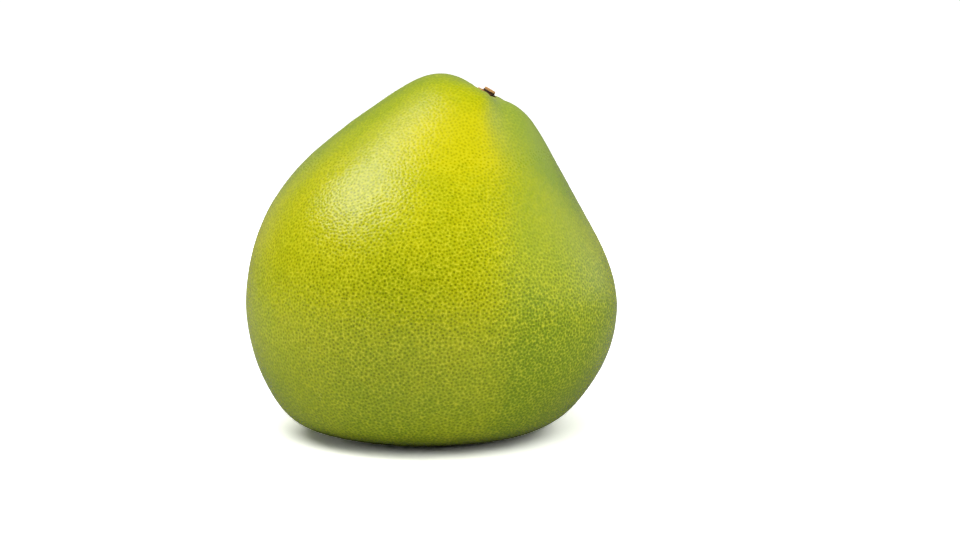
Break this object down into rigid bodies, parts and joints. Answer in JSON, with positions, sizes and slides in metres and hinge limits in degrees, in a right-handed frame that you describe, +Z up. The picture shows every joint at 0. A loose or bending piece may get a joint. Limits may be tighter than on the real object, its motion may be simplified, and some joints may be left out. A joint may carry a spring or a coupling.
{
  "type": "pomelo",
  "caption": "Whole pear-shaped pomelo with a broad round base, a leaning blunt neck and a cut stalk in a shallow dimple.",
  "frame": {"origin": "on the ground, under the middle of the outline of the fruit standing on its blossom end", "axes": "+Z up, from the flat of the blossom end toward the stalk; the neck leans toward +X; -Y is the side with the furrow that runs down from the stalk"},
  "size_m": [0.162, 0.1588, 0.1573],
  "materials": {
    "rind": "satin",
    "calyx": "matte",
    "stalk_wood": "matte"
  },
  "bodies": {
    "root": {"fruit": "rind", "calyx": "calyx", "stem_stub": "stalk_wood"}
  },
  "joints": []
}
